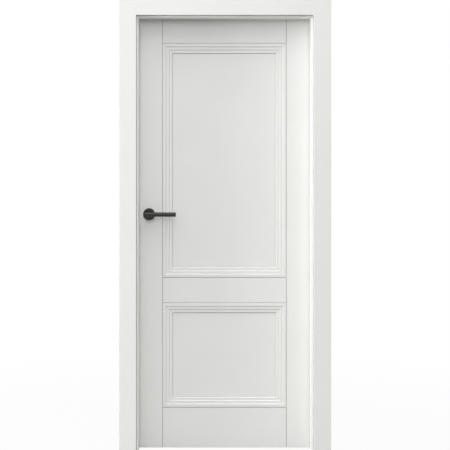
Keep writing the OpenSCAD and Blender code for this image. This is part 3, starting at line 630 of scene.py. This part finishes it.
# Neck and tee are joined, then remeshed so that the joint between them is a soft cast corner
def makeNeck(name, node, front, material):
    plan = leverPlan
    radius, foot, top = plan["neckRadius"], plan["neckGap"], plan["barReach"]
    neck = [(0, foot), (radius, foot), (radius, top), (0, top)]
    tee = barOutline(plan["barTail"] + plan["seam"], plan["barEdge"], plan["seamEdge"])
    bm = bmesh.new()
    lathe(bm, neck, plan["segments"], Matrix())
    lathe(bm, tee, plan["segments"], barMatrix(-plan["barTail"]))
    piece = finishMesh(name, bm, plan["sharpAngle"])
    remesh = piece.modifiers.new("cast", "REMESH")
    remesh.mode = "VOXEL"
    remesh.voxel_size = plan["castVoxel"]
    remesh.use_smooth_shade = True
    smooth = piece.modifiers.new("soften", "SMOOTH")
    smooth.factor = plan["softenShare"]
    smooth.iterations = plan["softenRounds"]
    evaluated = piece.evaluated_get(bpy.context.evaluated_depsgraph_get())
    mesh = bpy.data.meshes.new_from_object(evaluated)
    piece.modifiers.clear()
    piece.data = mesh
    placed = leverMatrix(front)
    mesh.transform(placed)
    # The back's lever is a mirror image, which turns the faces inside out
    if placed.determinant() < 0:
        mesh.flip_normals()
    dressPiece(piece, material, "handle", node)


# The narrow joints and lines painted dark grey as shade: in the grooves below a little depth, and
# flat on the panels beside the mouldings' feet
slotPlan = {
    # depth in a groove below which the painted shade begins
    "shadeStartDepth": 0.0008,
    "slack": 0.0001,
    "footWidth": 0.0008,  # of the painted shade line on the panel beside a moulding's foot, standing also for the unpainted crack there
    "revealWidth": 0.00125,  # of the groove beside a casing's inner edge, painted dark grey as shade
    "revealDepth": 0.002,
    "fromCentre": -1,  # a near limit that every distance passes
}


def leafSlots(plan):
    slack, reach, fromCentre = plan["slack"], plan["shadeStartDepth"], plan["fromCentre"]
    joint = mouldingPlan["jointWidth"]
    half = leafMiddleY - leafFrontY
    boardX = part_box("stile_hinge")[0].x
    openings = [(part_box(below)[1].z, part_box(above)[0].z) for below, above in
                (("rail_bottom", "rail_middle"), ("rail_middle", "rail_top"))]
    deep = ("Y", leafMiddleY, half - mouldingPlan["jointDepth"] - slack, half - reach)
    slots = [[deep, ("X", 0, boardX - joint - slack, boardX + slack)]]
    for low, high in openings:
        for start in (low, high - joint):
            slots.append([deep, ("Z", 0, start - slack, start + joint + slack),
                          ("X", 0, fromCentre, boardX)])
    steps = mouldingPlan["steps"]
    width = mouldingPlan["firstTread"] + steps * mouldingPlan["slopeWidth"] \
        + (steps - 1) * mouldingPlan["treadWidth"]
    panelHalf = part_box("panel_upper")[1].y - leafMiddleY
    flat = ("Y", leafMiddleY, panelHalf - slack, panelHalf + slack)
    foot = plan["footWidth"]
    innerX = boardX - width
    slots.append([flat, ("X", 0, innerX - foot, innerX + slack)])
    for low, high in openings:
        for start in (low + width, high - width - foot):
            slots.append([flat, ("Z", 0, start - slack, start + foot + slack),
                          ("X", 0, fromCentre, innerX)])
    return slots


# Painted shade in the groove beside each front casing's inner edge, below a little depth
def jambSlots(plan):
    slack = plan["slack"]
    deep = ("Y", liningFrontY, plan["shadeStartDepth"], plan["revealDepth"] + slack)
    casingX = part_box("casing_front_hinge")[0].x
    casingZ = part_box("casing_front_head")[0].z
    width = plan["revealWidth"]
    return [[deep, ("X", 0, casingX - width - slack, casingX + slack)],
            [deep, ("Z", 0, casingZ - width - slack, casingZ + slack),
             ("X", 0, plan["fromCentre"], casingX)]]


edgePlan = {"lining": 0.0006, "leaf": 0.0004, "steel": 0.0003, "segments": 2, "angle": 40}


# CAD nodes keep their meshes and get a finish, some with eased edges
def dressNode(name, material, edge=None):
    piece = nodes[name]
    for slot in piece.material_slots:
        slot.material = material
    if edge:
        bevel = piece.modifiers.new("easedEdges", "BEVEL")
        bevel.width = edgePlan[edge]
        bevel.segments = edgePlan["segments"]
        bevel.limit_method = "ANGLE"
        bevel.angle_limit = math.radians(edgePlan["angle"])
        bevel.harden_normals = True


print("camera, lamps and floor")
makeCamera(cameraPlan)
for lampPlan in lampPlans:
    makeLamp(lampPlan)
makeWorld(skyLook)
makeFloor(floorPlan)

print("finishes")
rawReach = 0.0003  # how far the bare board shows round a corner
leafLacquer = makeLacquer("leafLacquer", lacquerLook, slots=leafSlots(slotPlan))
jambLacquer = makeLacquer("jambLacquer", lacquerLook, [
    ("X", "GREATER_THAN", liningEdgeX - rawReach),
    ("X", "LESS_THAN", rawReach - liningEdgeX),
    ("Z", "GREATER_THAN", liningTopZ - rawReach),
], jambSlots(slotPlan))
frontCasingLacquer = makeLacquer("frontCasingLacquer", lacquerLook, [
    ("Y", "GREATER_THAN", liningFrontY - rawReach),
])
backCasingLacquer = makeLacquer("backCasingLacquer", lacquerLook, [
    ("Y", "LESS_THAN", liningBackY + rawReach),
])
blackCoat = makeBlackCoat(blackLook)
steels = {name: makeSteel(name, look) for name, look in steelLooks.items()}
sealRubber = makePlain("sealRubber", plainLooks["sealRubber"])
darkPlastic = makePlain("darkPlastic", plainLooks["darkPlastic"])
bareWood = makeBareWood(woodLook)

print("frame and leaf")
for name in nodes:
    if name in ("jamb_latch", "jamb_hinge", "head_jamb"):
        dressNode(name, jambLacquer, "lining")
    elif name.startswith("casing_front"):
        dressNode(name, frontCasingLacquer)
    elif name.startswith("casing_back"):
        dressNode(name, backCasingLacquer)
    elif name.startswith(("stile", "rail_", "panel")) and name != "rail_dowels":
        dressNode(name, leafLacquer, "leaf")
    elif name.startswith("seal"):
        dressNode(name, sealRubber)
    elif name.startswith(("hinge_frame_plate", "hinge_leaf_plate", "hinge_pin")):
        dressNode(name, steels["hingeSteel"], "steel")
    elif name in ("strike_plate", "latch_forend", "latch_bolt"):
        dressNode(name, steels["latchSteel"], "steel")
    elif name.endswith("screws") or name == "rose_bolts":
        dressNode(name, steels["screwSteel"])
    elif name in ("latch_case", "latch_cover", "latch_hub", "spindle", "latch_spring"):
        dressNode(name, steels["zincSteel"])
    elif name in ("strike_box", "rose_base_front", "rose_base_back"):
        dressNode(name, darkPlastic)
    elif name == "rail_dowels":
        dressNode(name, bareWood)

print("mouldings")
for level in ("upper", "lower"):
    for side in ("front", "back"):
        makeMoulding("moulding" + level.title() + side.title(),
                     "moulding_%s_%s" % (level, side), side == "front", leafLacquer)

print("roses and levers")
for side in ("front", "back"):
    isFront = side == "front"
    makeRose("rose" + side.title(), "rose_cover_" + side, isFront, blackCoat)
    makeNeck("leverNeck" + side.title(), "lever_neck_" + side, isFront, blackCoat)
    makeGrip("leverGrip" + side.title(), "lever_grip_" + side, isFront, blackCoat)

scene.view_settings.view_transform = "Standard"
print("done")
